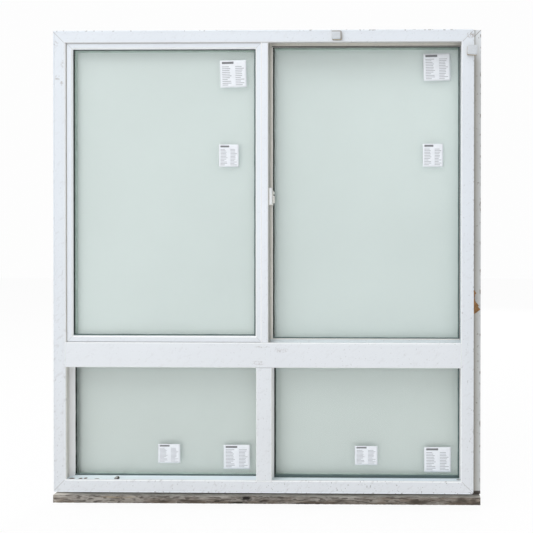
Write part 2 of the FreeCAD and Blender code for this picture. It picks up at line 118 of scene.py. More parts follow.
# how far a gasket lies over the glass, then over the stop, at the foot, right, head and left of each light
GASKETS = {
    "sash": ((0.007, 0.008, 0.0015, 0.0025), (0.0003, 0.0003, 0.0042, 0.002)),
    "upper_right": ((0.007, 0.006, 0.0012, 0.0085), (0.0003, 0.0024, 0.0042, 0.0003)),
    "lower_left": ((0.0055, 0.007, 0.003, 0.0138), (0.0003, 0.001, 0.001, 0.0003)),
    "lower_right": ((0.007, 0.0055, 0.003, 0.0055), (0.0058, 0.0008, 0.001, 0.0003)),
}
# the same of the vinyl lip that some stops carry in front of the gasket
STOP_LIPS = {
    "sash": ((0.0022, 0.0022, 0.0004, 0.0004), (0.0004, 0.0004, 0.0003, 0.0003)),
    "upper_right": ((0.0027, 0.0004, 0.0004, 0.004), (0.001, 0.0003, 0.0003, 0.001)),
}
# how far a channel cover's flat lies behind the stop's edge, and its crest in front of it, on the same four sides
COVERS = {
    "lower_left": ((0.003, 0.009, 0.009, 0.009), (0.0, 0.0, 0.0, 0.01)),
    "lower_right": ((0.006, 0.009, 0.009, 0.009), (-0.0052, 0.0, 0.0, 0.0)),
}

# height over which the painted sky light on the gaskets' foot ends
GASKET_FOOT = (0.07, 0.074)
# the torn paper's corners, inwards from the flange's edge and in height, and its width at shares of its height
TORN_PAPER = ((0.03, 0.697), (0.0015, 0.792))
TEAR = ((0.0, 0.25), (0.17, 1.0), (0.29, 0.69), (0.34, 0.78), (0.51, 0.33), (0.62, 0.18), (0.81, 0.25), (0.84, 0.46),
        (1.0, 0.12))
# the glue under the torn paper and the height of its crinkles
PAPER_GAP = 0.0002
PAPER_CRINKLE = 0.0007
# distance from the middle at which the flange turns pale with a painted highlight, darker with a painted shadow
# by the frame and dirty at its rim, then the depth below its top that takes painted light, and the height over
# which the painted shadow at its foot ends
FLANGE_PALE = (0.822, 0.842)
FLANGE_SHADOW = (0.8185, 0.826)
FLANGE_RIM = (0.8398, 0.8412)
FLANGE_TOP = (0.03, 0.13)
FLANGE_FOOT = (-0.011, -0.008)

# depth along Y of the back of the frame's lip and of the front of the glass stop, and the stop's thickness
SHELF = -0.084
STOP_FRONT = -0.052
STOP_THICKNESS = 0.003
# place of the screw along X and Y, and how far its head is sunk in the ledge
SCREW_PLACE = (-0.566, -0.0752)
SCREW_SUNK = 0.001
# tilt in degrees, half the width and height, drop below the node's middle, and any darker right and top edge of a pad
PADS = {
    "head_pad": (0.0, (0.019, 0.0157), 0.0018, (0.005, 0.0045)),
    "jamb_pad": (3.0, (0.019, 0.0175), 0.0, None),
}
# depth over which a pad's foam gives way to cork
PAD_CORK = (0.0048, 0.0056)
# how far the bars reach over each pane's edge
GLASS_BITE = 0.01

# place along X and Z, reach along each, colour and strength of the marks on the indoor faces
STAINS = (
    ((0.786, 1.757), (0.016, 0.014), "soil", 0.65),
    ((-0.017, 0.518), (0.03, 0.01), "scuff", 0.9),
    ((0.071, 0.566), (0.03, 0.012), "scuff", 0.8),
    ((-0.002, 0.579), (0.034, 0.005), "scuff", 0.7),
    ((-0.781, 1.599), (0.012, 0.014), "scuff", 0.9),
    ((-0.765, 1.58), (0.008, 0.012), "scuff", 0.9),
    ((-0.763, 1.652), (0.007, 0.02), "scuff", 0.8),
    ((-0.788, 1.728), (0.01, 0.018), "scuff", 0.6),
)
# the same of the marks on the covers, with the place along X and Y
COVER_STAINS = (
    ((-0.7405, -0.0745), (0.014, 0.007), "soil", 1.0),
    ((-0.7068, -0.0745), (0.009, 0.006), "soil", 1.0),
    ((-0.6888, -0.072), (0.009, 0.006), "soil", 1.0),
    ((-0.6428, -0.0765), (0.012, 0.004), "soil", 0.9),
    ((0.749, -0.062), (0.012, 0.008), "soil", 0.6),
)
# the same of the marks on the board
BOARD_STAINS = (
    ((-0.505, -0.03), (0.02, 0.007), "timber_dark", 0.9),
    ((-0.084, -0.033), (0.026, 0.016), "timber_hole", 1.0),
    ((-0.592, -0.03), (0.09, 0.005), "timber_tan", 0.7),
    ((-0.712, -0.037), (0.02, 0.006), "timber_dark", 0.8),
    ((0.137, -0.052), (0.05, 0.006), "timber_hole", 0.8),
    ((0.595, -0.04), (0.045, 0.012), "timber_dark", 0.9),
    ((0.768, -0.036), (0.03, 0.014), "timber_dark", 0.9),
    ((0.832, -0.04), (0.034, 0.026), "timber_dark", 0.9),
)


def display(red, green, blue):
    """Scene-linear colour of an 8-bit display colour."""
    share = np.array((red, green, blue)) / 255
    return tuple(np.where(share <= 0.04045, share / 12.92, ((share + 0.055) / 1.055) ** 2.4))


def colour(name, description, red, green, blue):
    """A colour property with its default."""
    return bpy.props.FloatVectorProperty(name=name, description=description, subtype="COLOR", size=3,
                                         min=0, max=1, default=display(red, green, blue))


def length(name, description, default):
    """A length property in metres with its default."""
    return bpy.props.FloatProperty(name=name, description=description, unit="LENGTH", min=0, default=default)


class WindowColours(bpy.types.PropertyGroup):
    """Colours of the window's finishes."""

    vinyl: colour("Vinyl", "Frame, upper meeting stile and outdoor beads", 232, 238, 245)
    # painted lighter than the frame's vinyl, to make up for dimmer light on the bars between the lights
    transom: colour("Transom vinyl", "Clean vinyl of the bars between the lights", 238, 243, 249)
    # its warmth is painted bounce light on the upper right stop; the latch case takes the same colour
    cream: colour("Cream stop", "Glass stop of the upper right light", 250, 248, 243)
    # painted a touch lighter than the frame's vinyl, to make up for dimmer light at the foot
    sill: colour("Sill vinyl", "Bottom of the frame, greyed by dust", 233, 239, 246)
    sash: colour("Sash vinyl", "Sash bars and pull rail", 238, 243, 250)
    bead: colour("Bead vinyl", "Beads round the sash's glass", 234, 240, 247)
    # painted shade on the sash's sides and deep in its grooves
    side_shade: colour("Groove dust", "Grey dust deep in grooves and on the sash's side", 206, 205, 200)
    # the grey that the vinyl turns towards the foot
    dusty: colour("Dusty vinyl", "Vinyl near the foot of the frame", 226, 228, 231)
    # painted highlight on rounded and sloped edges, and the plain white of the latch, seal, lips and covers
    white_and_highlight: colour("Wiped edge", "Rounded and sloped edges", 250, 252, 254)
    # painted highlight on the frame's rounded outer edge and the flange's outer line, and painted light on its top
    rim: colour("Outer rim", "Rounded outer edge of the frame", 240, 246, 252)
    # painted warm bounce light in the channel behind the lip and on side faces; darkened, painted shade on the covers
    channel: colour("Channel dust", "Dust in the channel behind the lip", 246, 243, 236)
    # painted bluish sky light on the channel covers' faces that look up
    shelf: colour("Shelves", "Channel covers that look up at the sky", 234, 245, 255)
    # painted bluish sky light on faces that look up, and on the sides of the right jamb, transom and sill
    ledge: colour("Ledges", "Reveals that look up at the sky", 246, 252, 255)
    scuff: colour("Scuffs", "Grey rubbed marks on the vinyl", 196, 196, 198)
    soil: colour("Soil", "Brown dirt in corners", 126, 96, 70)
    # painted lighter than the frame's vinyl, as light in the glass stop's recess; also the covers' and seal's white
    stop: colour("Glass stop", "Stop in front of the glass", 250, 251, 253)
    # greyer than the frame's vinyl
    flange: colour("Flange", "Outdoor flange, dulled by handling", 190, 187, 180)
    speck: colour("Specks", "Specks, chips and hairlines on the vinyl", 128, 118, 108)
    glass: colour("Clear glass", "Tint of the inner panes", 253, 255, 254)
    satin: colour("Satin glass", "Outer panes of the upper lights", 235, 240, 241)
    # darker than the upper satin: painted shade on the lower panes
    satin_low: colour("Lower satin glass", "Outer panes of the lower lights", 230, 234, 234)
    gasket: colour("Gasket", "Rubber round the panes", 30, 34, 30)
    # painted sky light on rubber that faces up or to the left, and at the lower lights' foot
    gasket_dust: colour("Gasket dust", "Dusted rubber at the foot and right of a pane", 104, 122, 122)
    spacer: colour("Spacer", "Bar between the panes", 196, 210, 204)
    latch: colour("Latch", "Moulded latch", 248, 250, 252)
    roller: colour("Roller", "Nylon rollers", 178, 176, 168)
    pad_face: colour("Pad face", "Foam face of the pads", 215, 220, 225)
    pad_side: colour("Pad side", "Cork behind the foam", 190, 175, 152)
    # a darker band along the head pad's top and right edge
    pad_edge: colour("Pad edge", "Soiled top and right edge of the head pad", 172, 169, 166)
    timber: colour("Timber", "Weathered board", 194, 189, 182)
    timber_dark: colour("Timber grain", "Dark grain and edges", 88, 80, 72)
    timber_hole: colour("Timber cracks", "Cracks and dark knots in the board", 38, 34, 30)
    timber_tan: colour("Timber tan", "Fresh wood where the grey has worn off", 186, 168, 142)
    # painted light on the board's top
    timber_top_lit: colour("Bleached timber", "Top of the board", 226, 222, 214)
    timber_stain: colour("Timber stain", "Brown stains on the board", 128, 112, 96)
    paper: colour("Sticker", "Sticker paper", 242, 246, 252)
    ink: colour("Ruled lines", "Ruling on the stickers", 150, 153, 160)
    torn_paper: colour("Torn paper", "Packing paper left on the flange", 150, 112, 72)
    steel: colour("Screw", "Zinc screw", 204, 206, 204)


class WindowSizes(bpy.types.PropertyGroup):
    """Sizes of the pieces that are added to the window."""

    gasket_height: length("Gasket height", "Thickness of the gasket on the glass", 0.0014)
    gasket_behind: length("Gasket behind a lip", "Thickness of a gasket with a vinyl lip over it", 0.00035)
    cover_gap: length("Cover gap", "Gap between the lip and a channel cover", 0.001)
    cover_slope: length("Cover slope", "Depth of the slope that rises to the glass", 0.01)
    cover_play: length("Cover play", "Gap between a channel cover and the glass stop", 0.00025)
    sticker_lift: length("Sticker lift", "How far a sticker's corners curl off the glass", 0.0003)
    sticker_thickness: length("Sticker thickness", "Paper thickness", 0.0002)
    board_waver: length("Board waver", "Unevenness of the board's edges", 0.0014)
    screw_radius: length("Screw radius", "Head of the screw in the sill", 0.0086)
    screw_height: length("Screw height", "Height of the screw's head", 0.008)
    floor_size: length("Floor", "Side of the floor", 60.0)


class Nodes:
    """A node tree while it is put together."""

    def __init__(self, tree):
        self.tree = tree

    def add(self, kind, **settings):
        """A new node with its settings."""
        made = self.tree.nodes.new(kind)
        for key, setting in settings.items():
            setattr(made, key, setting)
        return made

    def feed(self, socket, source):
        """Link a socket to another, or set it to a number or a colour."""
        if isinstance(source, bpy.types.NodeSocket):
            self.tree.links.new(source, socket)
        elif isinstance(source, (int, float)):
            socket.default_value = source
        else:
            socket.default_value = (*source, 1) if len(socket.default_value) == 4 else source

    def math(self, operation, first, second=0.0):
        """What a maths node makes of one or two values."""
        made = self.add("ShaderNodeMath", operation=operation)
        self.feed(made.inputs[0], first)
        self.feed(made.inputs[1], second)
        return made.outputs[0]

    def times(self, product, *factors):
        """The product of all the values."""
        for factor in factors:
            product = self.math("MULTIPLY", product, factor)
        return product

    def less(self, first, second):
        return self.math("SUBTRACT", first, second)

    def lowest(self, first, second):
        return self.math("MINIMUM", first, second)

    def highest(self, first, second):
        return self.math("MAXIMUM", first, second)

    def between(self, source, low, high):
        """1 where the source lies between low and high, 0 elsewhere."""
        return self.times(self.math("GREATER_THAN", source, low), self.math("LESS_THAN", source, high))

    def span(self, source, low, high, start=0.0, end=1.0):
        """The source from low to high, as start to end, held at both."""
        made = self.add("ShaderNodeMapRange", clamp=True)
        self.feed(made.inputs["Value"], source)
        for key, setting in (("From Min", low), ("From Max", high), ("To Min", start), ("To Max", end)):
            made.inputs[key].default_value = setting
        return made.outputs["Result"]

    def seen_rays(self):
        """1 for rays that show the background: from the camera, from mirrors and through glass."""
        path = self.add("ShaderNodeLightPath").outputs
        return self.highest(path["Is Camera Ray"], self.highest(path["Is Glossy Ray"], path["Is Transmission Ray"]))


class Recipe(Nodes):
    """A material while its nodes are put together; base holds its colour so far."""

    def __init__(self, name):
        self.material = bpy.data.materials.new(name)
        self.material.use_nodes = True
        super().__init__(self.material.node_tree)
        self.shader = self.tree.nodes["Principled BSDF"]
        self.surface = self.tree.nodes["Material Output"].inputs["Surface"]
        self.place = self.add("ShaderNodeTexCoord").outputs["Object"]
        self.base = None

    def axes(self, source=None):
        """The three coordinates of a vector, apart."""
        made = self.add("ShaderNodeSeparateXYZ")
        self.feed(made.inputs[0], source or self.place)
        return made.outputs["X"], made.outputs["Y"], made.outputs["Z"]

    def normal(self):
        """The three coordinates of the way that the surface faces."""
        return self.axes(self.add("ShaderNodeNewGeometry").outputs["Normal"])

    def turned(self, angle):
        """The piece's own coordinates, turned about Y."""
        made = self.add("ShaderNodeMapping")
        self.feed(made.inputs["Vector"], self.place)
        made.inputs["Rotation"].default_value = (0, angle, 0)
        return made.outputs["Vector"]

    def noise(self, scale, detail, stretch=(1, 1, 1), source=None):
        """Fractal noise between 0 and 1 on the piece's own coordinates, squeezed along each axis by stretch."""
        squeezed = self.add("ShaderNodeMapping")
        self.feed(squeezed.inputs["Vector"], source or self.place)
        squeezed.inputs["Scale"].default_value = stretch
        made = self.add("ShaderNodeTexNoise")
        self.feed(made.inputs["Vector"], squeezed.outputs["Vector"])
        made.inputs["Scale"].default_value = scale
        made.inputs["Detail"].default_value = detail
        return made.outputs["Fac"]

    def cloud(self, scale, detail, low, high, start=0.0, end=1.0, stretch=(1, 1, 1), source=None):
        """Noise from low to high, as start to end."""
        return self.span(self.noise(scale, detail, stretch, source), low, high, start, end)

    def spot(self, place, reach, upright=2):
        """1 at a place in X and Z, or another axis, falling to 0 at the reach along each."""
        axes = self.axes()
        across = self.math("DIVIDE", self.less(axes[0], place[0]), reach[0])
        up = self.math("DIVIDE", self.less(axes[upright], place[1]), reach[1])
        return self.span(self.math("ADD", self.times(across, across), self.times(up, up)), 0.2, 1, 1, 0)

    def mix(self, factor, first, second):
        """One colour turning into another."""
        made = self.add("ShaderNodeMix", data_type="RGBA", blend_type="MIX")
        self.feed(made.inputs["Factor"], factor)
        self.feed(made.inputs["A"], first)
        self.feed(made.inputs["B"], second)
        return made.outputs["Result"]

    def coat(self, tint, *masks):
        """Lay a colour over the base, as far as all the masks let it."""
        self.base = self.mix(self.times(*masks), self.base, tint)

    def stain(self, hue, marks, ragged, upright=2, share=1.0):
        """Lay ragged marks over the base, each in a share of its own colour."""
        for place, reach, tint, strength in marks:
            self.coat(shade(getattr(hue, tint), share), self.spot(place, reach, upright), ragged, strength)

    def blend(self, factor, first, second):
        """One surface turning into another."""
        made = self.add("ShaderNodeMixShader")
        for socket, source in zip(made.inputs, (factor, first, second)):
            self.feed(socket, source)
        return made.outputs["Shader"]

    def finish(self, roughness, relief=None, specular=0.5, metallic=0.0, transmission=0.0):
        """The material, with its base; relief is a height, its strength and its distance in metres."""
        for key, source in (("Base Color", self.base), ("Roughness", roughness), ("Specular IOR Level", specular),
                            ("Metallic", metallic), ("Transmission Weight", transmission)):
            self.feed(self.shader.inputs[key], source)
        if relief:
            made = self.add("ShaderNodeBump")
            for key, source in zip(("Height", "Strength", "Distance"), relief):
                self.feed(made.inputs[key], source)
            self.feed(self.shader.inputs["Normal"], made.outputs["Normal"])
        return self.material


def shade(tint, share):
    """A colour made darker or lighter by a share."""
    return tuple(min(1.0, part * share) for part in tint)


def vinyl(name, hue, tint, reveal, stop, specks, edges, mitre, rim=True, stains=()):
    """White extruded vinyl.

    The base drifts faintly and greys towards the foot. Rounded and sloped edges carry a painted highlight, and
    the sides and the channel behind the lip take the reveal colour, painted light or shade, where they don't face
    up, and a painted bluish sky light where they do; the stop behind that has its own colour, painted lighter. Fine
    specks and slanted scuffs lie on top, and ragged stains at their places. The edges are left, right, foot and top
    of the mitred frame that the bar is part of: hairlines show its mitres. With rim, its outer edge carries a
    painted highlight and chips, and the head's lip a painted shade; without, a painted shade lies along the top.
    """
    made = Recipe(name)
    x, y, z = made.axes()
    left, right, foot, top = edges
    drop = made.less(top, z)
    side = made.lowest(made.less(right, x), made.less(x, left))
    level = made.lowest(drop, made.less(z, foot))
    inset = made.lowest(side, level)
    _, facing, rising = made.normal()
    made.base = made.mix(made.cloud(2.2, 4, 0.3, 0.7), shade(tint, 0.97), shade(tint, 1.012))
    # greyer towards the foot
    made.coat(hue.dusty, made.span(z, 0.2, 1.1, 0.55, 0))
    slope = made.times(made.span(facing, -0.985, -0.9), made.span(facing, -0.45, -0.2, 1, 0))
    if rim:
        # painted highlight on the rounded outer edge
        made.coat(hue.rim, made.span(inset, 0.002, 0.004, 0.8, 0))
        slope = made.times(slope, made.span(inset, 0.008, 0.012))
    else:
        # painted shadow of the frame's head along the sash's top
        made.coat(shade(hue.scuff, 0.9), made.span(z, top - 0.004, top - 0.002, 0, 0.55))
    # painted highlight on rounded and sloped edges
    made.coat(hue.white_and_highlight, slope)
    deep = made.span(y, SHELF, SHELF + 0.004)
    # painted warm light, sky light or shade in the reveal colour on the sides and in the channel behind the lip
    made.coat(reveal, made.highest(deep, made.span(facing, -0.3, -0.1)), made.span(rising, 0.3, 0.7, 1, 0))
    # painted bluish sky light on the ledges that face up
    made.coat(hue.ledge, deep, made.span(rising, 0.6, 0.9))
    if rim:
        # painted shade along the lower edge of the head's lip
        made.coat(shade(hue.scuff, 0.8), made.span(drop, mitre - 0.0025, mitre - 0.0005, 0, 0.65),
                  made.span(side, mitre, mitre + 0.002), made.span(drop, mitre, mitre + 0.001, 1, 0))
        # the glass stop, painted lighter as light in its recess
        made.coat(stop, made.span(y, STOP_FRONT, STOP_FRONT + 0.006), made.span(inset, 0.024, 0.042))
    use = made.span(z, 0.1, 1.3, 1.2 * specks, 0.4 * specks)
    made.coat(shade(hue.speck, 0.6), made.cloud(150, 1, 0.69, 0.715), made.span(x, -0.6, 0.3, 0.45, 1), use)
    smear = made.cloud(34, 6, 0.56, 0.7, stretch=(1, 1, 2.2), source=made.turned(0.7))
    made.coat(hue.scuff, smear, use, 0.7)
    indoor = made.span(y, SHELF - 0.004, SHELF, 1, 0)
    ragged = made.times(made.cloud(130, 4, 0.44, 0.6), indoor)
    made.stain(hue, stains, ragged)
    if rim:
        # chips along the outer edge
        made.coat(shade(hue.speck, 0.75), made.span(inset, 0.0012, 0.0032, 1, 0), made.cloud(75, 4, 0.58, 0.63),
                  indoor, 0.5)
    offset = made.math("ABSOLUTE", made.less(side, level))
    corner = made.span(made.highest(side, level), mitre - 0.001, mitre, 1, 0)
    made.coat(hue.speck, made.span(offset, 0.0008, 0.002, 1, 0), corner, 0.38 if rim else 0.22)
    return made.finish(made.cloud(15, 4, 0.3, 0.7, 0.3, 0.44), (made.noise(420, 2), 0.06, 0.0004), specular=0.45)


def cover_vinyl(name, hue, flat, crest):
    """Channel covers: painted shade and dust on the sunk flat, clean on the slope, painted bluish sky light where
    that faces up, soiled in spots.
    """
    made = Recipe(name)
    _, y, _ = made.axes()
    _, _, rising = made.normal()
    cloud = made.cloud(9, 4, 0.3, 0.7)
    made.base = made.mix(cloud, hue.stop, hue.white_and_highlight)
    # painted bluish sky light where the cover faces up
    made.coat(made.mix(cloud, hue.shelf, shade(hue.shelf, 1.06)), made.span(rising, 0.2, 0.5))
    # painted shade and dust on the sunk flat, darker towards the lip
    made.coat(shade(hue.channel, 0.76), made.span(y, flat, crest, 0.9, 0), made.span(rising, 0.2, 0.5, 1, 0))
    ragged = made.cloud(130, 4, 0.32, 0.42)
    made.stain(hue, COVER_STAINS, ragged, upright=1, share=0.5)
    return made.finish(made.cloud(15, 4, 0.3, 0.7, 0.32, 0.46), (made.noise(420, 2), 0.06, 0.0004))


def clear_glass(name, tint):
    """Clear pane: what is behind shows straight through, and a mirror sheen grows towards grazing angles."""
    made = Recipe(name)
    made.tree.nodes.remove(made.shader)
    through = made.add("ShaderNodeBsdfTransparent")
    made.feed(through.inputs["Color"], tint)
    sheen = made.add("ShaderNodeBsdfGlossy")
    made.feed(sheen.inputs["Roughness"], made.cloud(5, 4, 0.35, 0.7, 0.02, 0.08))
    grazing = made.add("ShaderNodeLayerWeight")
    grazing.inputs["Blend"].default_value = 0.06
    pane = made.blend(grazing.outputs["Facing"], through.outputs["BSDF"], sheen.outputs["BSDF"])
    shadow = made.add("ShaderNodeLightPath").outputs["Is Shadow Ray"]
    made.feed(made.surface, made.blend(shadow, pane, through.outputs["BSDF"]))
    return made.material


def satin_glass(name, tint):
    """Satin pane: pale grey-green, cloudy in broad drifts, finely frosted."""
    made = Recipe(name)
    made.base = made.mix(made.cloud(1.6, 3, 0.3, 0.7), shade(tint, 0.97), shade(tint, 1.02))
    return made.finish(made.cloud(900, 2, 0.3, 0.7, 0.5, 0.62), (made.noise(1500, 1), 0.05, 0.0002),
                       specular=0.3, transmission=0.15)


def mottled(name, tint, other, scale, roughness, relief=0.1, metallic=0.0):
    """A plain finish that drifts between two colours."""
    made = Recipe(name)
    drift = made.noise(scale, 4)
    made.base = made.mix(made.span(drift, 0.35, 0.68), tint, other)
    return made.finish(made.span(drift, 0.3, 0.7, roughness - 0.06, roughness + 0.06),
                       (made.noise(scale * 6, 3), relief, 0.0006), metallic=metallic)


def gasket_rubber(name, hue):
    """Gasket rubber: near black, grey-green painted sky light where it faces up or to the left, with fine mottling."""
    made = Recipe(name)
    sideways, _, rising = made.normal()
    # painted sky light where the rubber faces up or to the left, and at the lower lights' foot
    sky_lit = made.span(made.highest(rising, made.times(sideways, -1.0)), 0.02, 0.2, 0, 0.85)
    sky_lit = made.highest(sky_lit, made.span(made.axes()[2], *GASKET_FOOT, 0.7, 0))
    drift = made.cloud(70, 4, 0.35, 0.68)
    made.base = made.mix(sky_lit, hue.gasket, hue.gasket_dust)
    made.coat(shade(hue.gasket_dust, 0.6), drift, 0.3)
    return made.finish(made.span(drift, 0, 1, 0.45, 0.6), (made.noise(420, 3), 0.1, 0.0004), specular=0.25)


def flange_vinyl(name, hue, high):
    """Flange vinyl: grey, streaked along its length, with a painted highlight inside its dirty outer edge.

    Painted shadow darkens it by the frame and at its foot, its top takes painted light, hairlines show its mitres.
    """
    made = Recipe(name)
    x, _, z = made.axes()
    outer, drop = made.math("ABSOLUTE", x), made.less(high[2], z)
    made.base = made.mix(made.cloud(6, 5, 0.3, 0.7, stretch=(1, 1, 0.3)), shade(hue.flange, 0.78),
                         shade(hue.flange, 1.12))
    # painted highlight, lighter towards the outer edge
    made.coat(hue.rim, made.span(outer, *FLANGE_PALE, 0, 0.5))
    # painted light near the top
    made.coat(hue.rim, made.span(drop, *FLANGE_TOP, 0.6, 0))
    # painted shadow of the frame
    made.coat(shade(hue.flange, 0.4), made.span(outer, *FLANGE_SHADOW, 0.55, 0))
    mitre = made.math("ABSOLUTE", made.less(made.less(high[0], outer), drop))
    made.coat(hue.speck, made.span(mitre, 0.001, 0.0024, 0.7, 0))
    made.coat(shade(hue.speck, 1.05), made.span(outer, *FLANGE_RIM), made.cloud(30, 5, 0.54, 0.62, 0, 0.75))
    made.coat(hue.speck, made.cloud(80, 3, 0.62, 0.7), 0.6)
    # painted shadow along the foot, over the board
    made.coat(shade(hue.soil, 0.15), made.span(z, *FLANGE_FOOT, 0.9, 0))
    return made.finish(made.cloud(20, 3, 0.3, 0.7, 0.45, 0.6), (made.noise(300, 2), 0.08, 0.0005))


def weathered_timber(name, hue, low, high):
    """Weathered board: grain drawn out along X, painted light on top, darker and browner towards the foot, blotched
    and cracked, with a painted shadow along the back of its top.
    """
    made = Recipe(name)
    x, y, z = made.axes()
    _, _, rising = made.normal()
    fibre = made.noise(170, 6, (0.14, 1, 1))
    made.base = made.mix(made.span(fibre, 0.36, 0.64), shade(hue.timber_dark, 1.1), hue.timber)
    foot_tone = made.mix(made.span(fibre, 0.38, 0.62), hue.timber_dark, hue.timber_stain)
    # darker and browner towards the foot
    made.coat(foot_tone, made.span(z, low[2] + 0.004, high[2] - 0.006, 0.9, 0))
    made.coat(shade(hue.timber, 1.25), made.cloud(60, 6, 0.44, 0.6, 0, 0.65, (0.25, 1, 1)))
    stain = made.cloud(14, 6, 0.44, 0.6, stretch=(0.6, 1, 2), source=made.turned(0.05))
    made.coat(hue.timber_stain, stain, made.span(x, -0.4, 0.5, 0.25, 0.65))
    made.coat(hue.timber_dark, made.cloud(120, 6, 0.53, 0.6, 0, 0.8, (0.25, 1, 1)))
    made.coat(hue.timber_hole, made.cloud(110, 4, 0.61, 0.65, 0, 0.9, (0.12, 1, 1.3)))
    ragged = made.cloud(90, 5, 0.38, 0.52, stretch=(0.5, 1, 1))
    made.stain(hue, BOARD_STAINS, ragged)
    upper = made.span(rising, 0.5, 0.9)
    # painted light on the board's top
    made.coat(hue.timber_top_lit, upper, made.span(fibre, 0.36, 0.64, 0.5, 0.9))
    # painted shadow on the strip of the top that the flange stands over
    made.coat(hue.timber_hole, upper, made.span(y, low[1] + 0.013, low[1] + 0.016, 0, 0.7))
    return made.finish(made.span(fibre, 0.3, 0.7, 0.75, 0.92), (fibre, 0.7, 0.0014))


def two_tone_pad(name, hue, low, high, rim):
    """Foam pad: grey foam in front, with rim darker along its right and top, cork behind it, with fine pores."""
    made = Recipe(name)
    x, y, z = made.axes()
    pores = made.cloud(420, 3, 0.35, 0.7)
    made.base = made.mix(pores, shade(hue.pad_face, 0.94), shade(hue.pad_face, 1.03))
    if rim:
        right, top = high[0] - rim[0], high[2] - rim[1]
        # a darker band along the right and top edge
        made.coat(hue.pad_edge, made.highest(made.span(x, right - 0.001, right), made.span(z, top - 0.001, top)), 0.9)
    cork = made.mix(pores, shade(hue.pad_side, 0.75), shade(hue.pad_side, 1.15))
    made.coat(cork, made.span(made.less(y, low[1]), *PAD_CORK))
    return made.finish(made.span(pores, 0, 1, 0.8, 0.92), (made.noise(600, 3), 0.25, 0.0006))


def ruled_paper(name, paper, ink, rows):
    """Sticker paper with a plain ruled form: rows of grey rules in two columns under a head bar."""
    made = Recipe(name)
    across, up, _ = made.axes(made.add("ShaderNodeTexCoord").outputs["UV"])
    row = made.times(up, rows)
    rule = made.span(made.math("ABSOLUTE", made.less(made.math("FRACT", row), 0.5)), 0.16, 0.24, 1, 0)
    column = made.math("GREATER_THAN", across, 0.56)
    ends = made.add("ShaderNodeTexWhiteNoise", noise_dimensions="1D")
    made.feed(ends.inputs["W"], made.math("ADD", made.math("FLOOR", row), made.times(column, rows)))
    local = made.less(across, made.math("ADD", made.times(column, 0.5), 0.08))
    reach = made.math("ADD", made.times(ends.outputs["Value"], 0.16), 0.2)
    made.base = made.mix(made.cloud(60, 3, 0.3, 0.7), shade(paper, 0.96), shade(paper, 1.03))
    made.coat(ink, rule, made.between(local, 0.0, reach), made.between(up, 0.07, 0.82), 0.75)
    made.coat(shade(ink, 0.25), made.between(up, 0.87, 0.95), made.between(across, 0.08, 0.52), 0.85)
    return made.finish(made.cloud(80, 2, 0.3, 0.7, 0.4, 0.52))


def lit_soiled_zinc(name, hue, worn, radius):
    """Screw zinc: painted highlight and wear at a spot, nearly black with painted shade and dirt away from it."""
    made = Recipe(name)
    away = made.add("ShaderNodeVectorMath", operation="DISTANCE")
    made.feed(away.inputs[0], made.place)
    away.inputs[1].default_value = worn
    dirt = made.span(away.outputs["Value"], 0.5 * radius, 0.75 * radius)
    made.base = made.mix(made.cloud(300, 4, 0.35, 0.68), hue.steel, shade(hue.steel, 0.6))
    # painted shade and dirt, nearly black, away from the lit spot
    made.coat(shade(hue.speck, 0.2), dirt)
    return made.finish(made.span(dirt, 0, 1, 0.4, 0.8), (made.noise(900, 2), 0.1, 0.0004),
                       metallic=made.span(dirt, 0, 1, 0.4, 0))


def grid(x, y, z, wrap_rows=False, wrap_columns=False):
    """The points of a grid, row by row, and the corner numbers of its quads, closed in either direction if asked."""
    points = np.stack(np.broadcast_arrays(x, y, z), axis=-1)
    rows, columns = points.shape[:2]
    row = np.arange(rows if wrap_rows else rows - 1)[:, None]
    column = np.arange(columns if wrap_columns else columns - 1)[None, :]
    below, beside = (row + 1) % rows, (column + 1) % columns
    quad = (row * columns + column, row * columns + beside, below * columns + beside, below * columns + column)
    return points, np.stack(np.broadcast_arrays(*quad), axis=-1).reshape(-1, 4)


def close_surface(mesh):
    """Merge the points of seams and poles, turn every face outwards, and keep sharp edges sharp."""
    shell = bmesh.new()
    shell.from_mesh(mesh)
    bmesh.ops.remove_doubles(shell, verts=shell.verts, dist=SEAM)
    bmesh.ops.dissolve_degenerate(shell, edges=shell.edges, dist=SLIVER)
    bmesh.ops.recalc_face_normals(shell, faces=shell.faces)
    shell.to_mesh(mesh)
    shell.free()
    mesh.set_sharp_from_angle(angle=math.radians(SHARP_ANGLE))


def new_piece(name, shape, material, wall=None):
    """A mesh object at the origin that rides on the window, with its place in its points.

    The shape is its points, its faces and, on some sheets, its UVs. A sheet gets a wall on the side that it faces,
    and any other shape is closed.
    """
    points, faces, *maps = shape
    mesh = bpy.data.meshes.new(name)
    mesh.from_pydata(points.reshape(-1, 3), [], faces.tolist())
    mesh.polygons.foreach_set("use_smooth", np.ones(len(mesh.polygons), dtype=bool))
    if wall is None:
        close_surface(mesh)
    for uv in maps:
        layer = mesh.uv_layers.new(name="UVMap")
        loops = np.empty(len(mesh.loops), dtype=np.int32)
        mesh.loops.foreach_get("vertex_index", loops)
        layer.data.foreach_set("uv", uv.reshape(-1, 2)[loops].ravel().astype(np.float32))
    mesh.materials.append(material)
    mesh.update()
    piece = bpy.data.objects.new(name, mesh)
    bpy.context.scene.collection.objects.link(piece)
    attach(piece, "root")
    if wall is not None:
        solid = piece.modifiers.new("wall", "SOLIDIFY")
        solid.thickness = wall
        solid.offset = 1
    return piece


def dress(names, material):
    """Give CAD nodes a finish."""
    for name in names:
        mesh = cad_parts[name].data
        mesh.materials.clear()
        mesh.materials.append(material)


def corners(node):
    """The lowest and highest corners of a node, as arrays."""
    return [np.array(corner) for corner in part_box(node)]


def sight(light):
    """The lowest and highest corners of the part of an inner pane that its bars leave in sight."""
    low, high = corners(f"{light}_inner_pane")
    low[[0, 2]] += GLASS_BITE
    high[[0, 2]] -= GLASS_BITE
    return low, high


